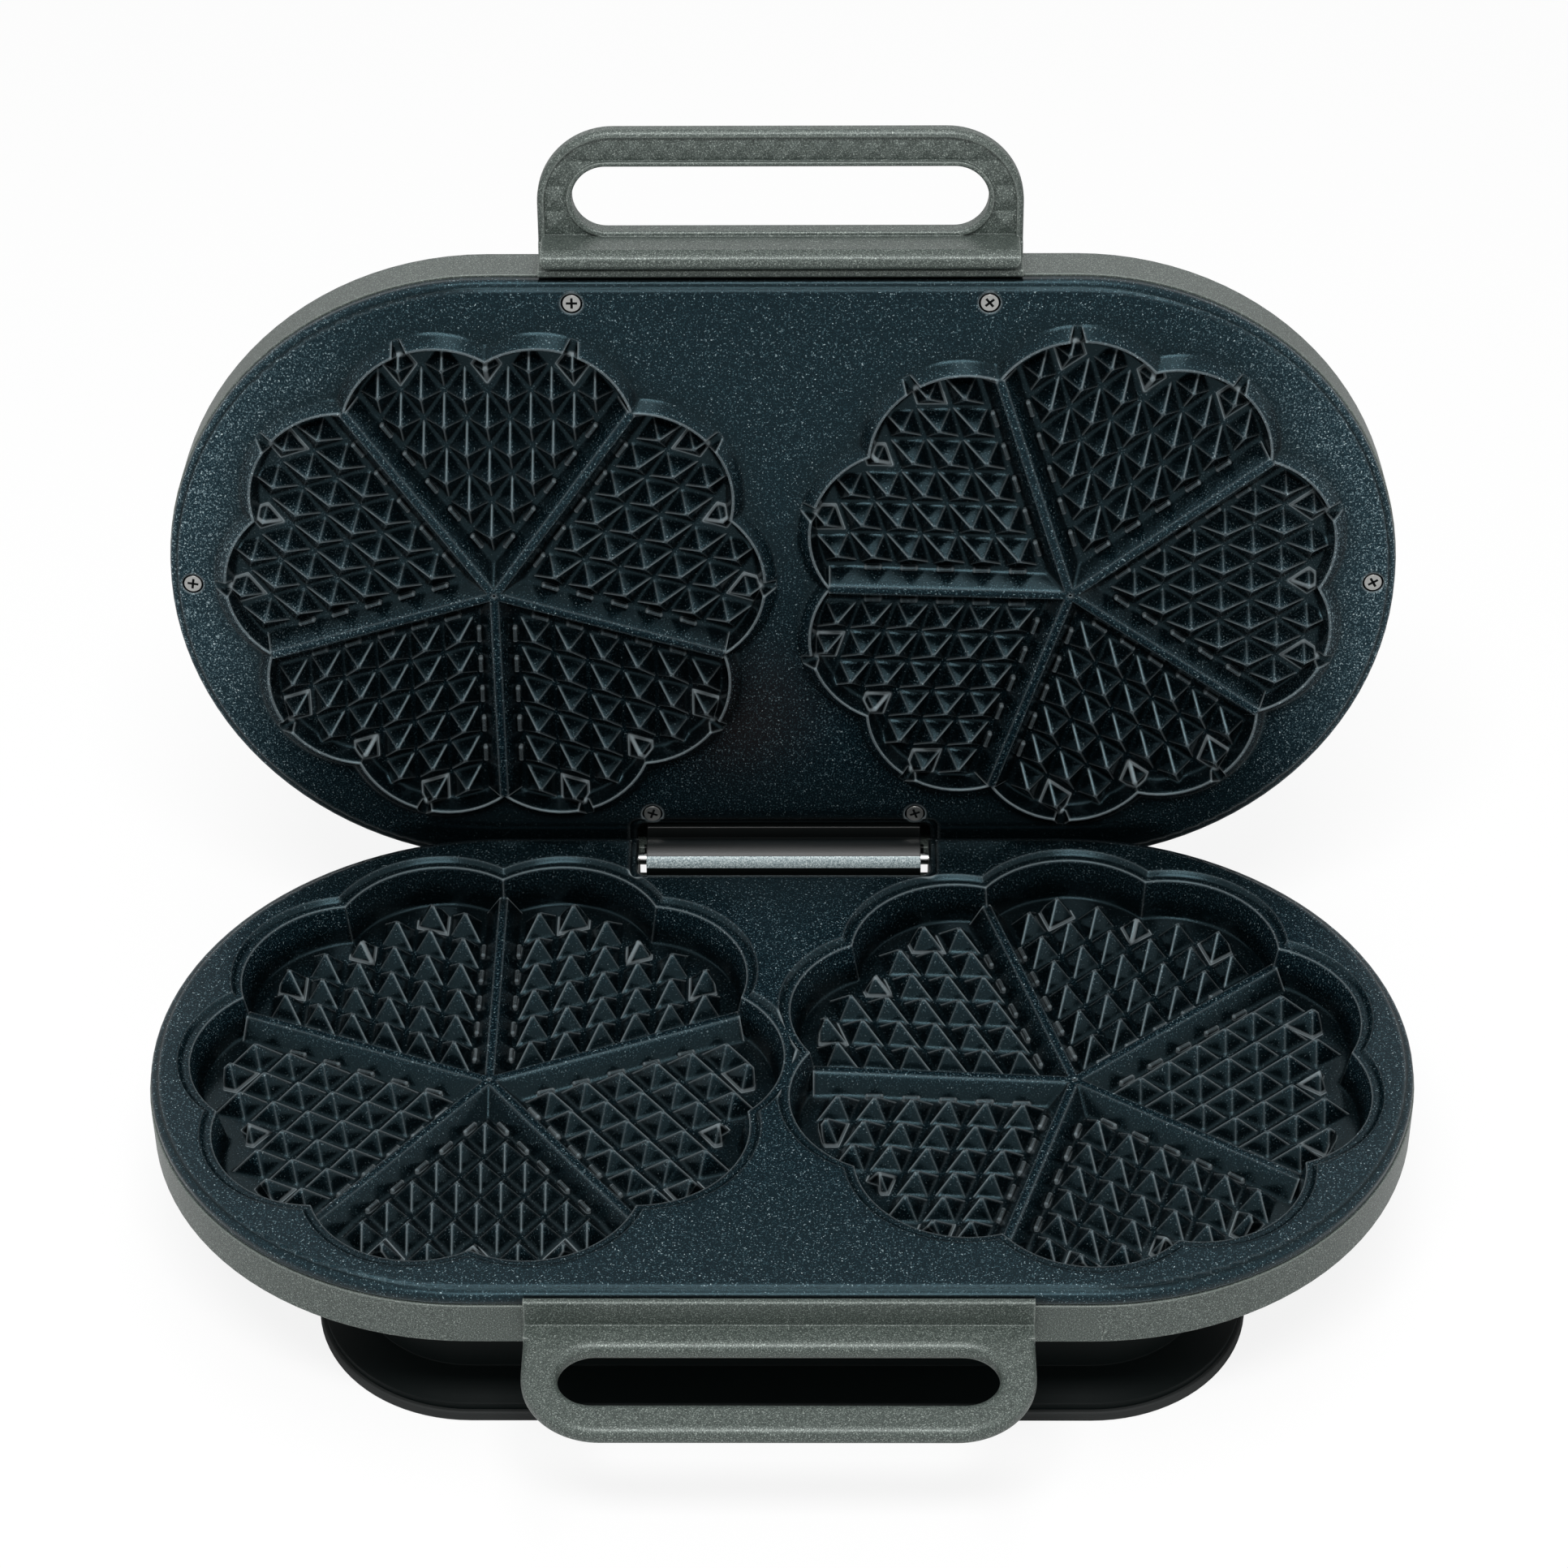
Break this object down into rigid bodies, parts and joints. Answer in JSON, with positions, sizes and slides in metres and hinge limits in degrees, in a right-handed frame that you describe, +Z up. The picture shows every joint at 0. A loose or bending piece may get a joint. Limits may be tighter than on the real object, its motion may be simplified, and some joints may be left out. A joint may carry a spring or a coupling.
{
  "type": "double waffle maker",
  "caption": "Countertop waffle maker standing open: two hinged oval plates with heart-flower waffle moulds, slotted handles, grey housings and a black pedestal foot.",
  "frame": {"origin": "on the table, in the plane of the rubber ring's underside, below the centre of the lower cooking plate", "axes": "+X to the right along the plates' long side, +Y back to the hinge, +Z up; the front handle points to -Y"},
  "size_m": [0.405, 0.3446, 0.3148],
  "materials": {
    "nonstick": "cast, dark non-stick coating",
    "housing": "moulded, metallic flecked grey",
    "foot": "moulded, satin near-black",
    "rubber": "matte dark grey",
    "steel": "bright zinc",
    "element": "heat-tinted sheath",
    "reflector": "bright pressed sheet",
    "ceramic": "glazed white",
    "bakelite": "dark brown phenolic",
    "lead": "braided sleeve",
    "knob": "black, satin gloss",
    "lens_red": "clear red",
    "lens_green": "clear green",
    "bulb": "clear"
  },
  "bodies": {
    "base": {"lower_plate": "nonstick", "lower_plate_screws": "steel", "lower_heater": "element", "lower_reflector": "reflector", "lower_reflector_screws": "steel", "base_housing": "housing", "lower_handle": "housing", "lower_handle_screws": "steel", "hinge_pin": "steel", "pedestal": "foot", "pedestal_screws": "steel", "foot_ring": "rubber", "bottom_cover": "foot", "bottom_cover_screws": "steel", "cord_gland": "rubber", "terminal_block": "ceramic", "base_wiring": "lead"},
    "lid": {"lid_shell": "housing", "upper_plate": "nonstick", "upper_plate_screws": "steel", "upper_heater": "element", "upper_reflector": "reflector", "upper_reflector_screws": "steel", "upper_handle": "housing", "upper_handle_screws": "steel", "thermostat_body": "bakelite", "thermostat_nut": "steel", "power_lamp": "lens_red", "ready_lamp": "lens_green", "lamp_bulbs": "bulb", "lid_wiring": "lead"},
    "knob": {"temperature_knob": "knob", "thermostat_shaft": "steel"}
  },
  "joints": [
    {"name": "lid_hinge", "type": "hinge", "parent": "base", "child": "lid", "pos_m": [0, 0.1023, 0.0635], "axis": [1, 0, 0], "range_deg": [0, 98.46]},
    {"name": "knob_turn", "type": "hinge", "parent": "lid", "child": "knob", "pos_m": [0, 0.1718, 0.15659], "axis": [0, 0.9891, -0.1471], "range_deg": [-270, 0]}
  ]
}
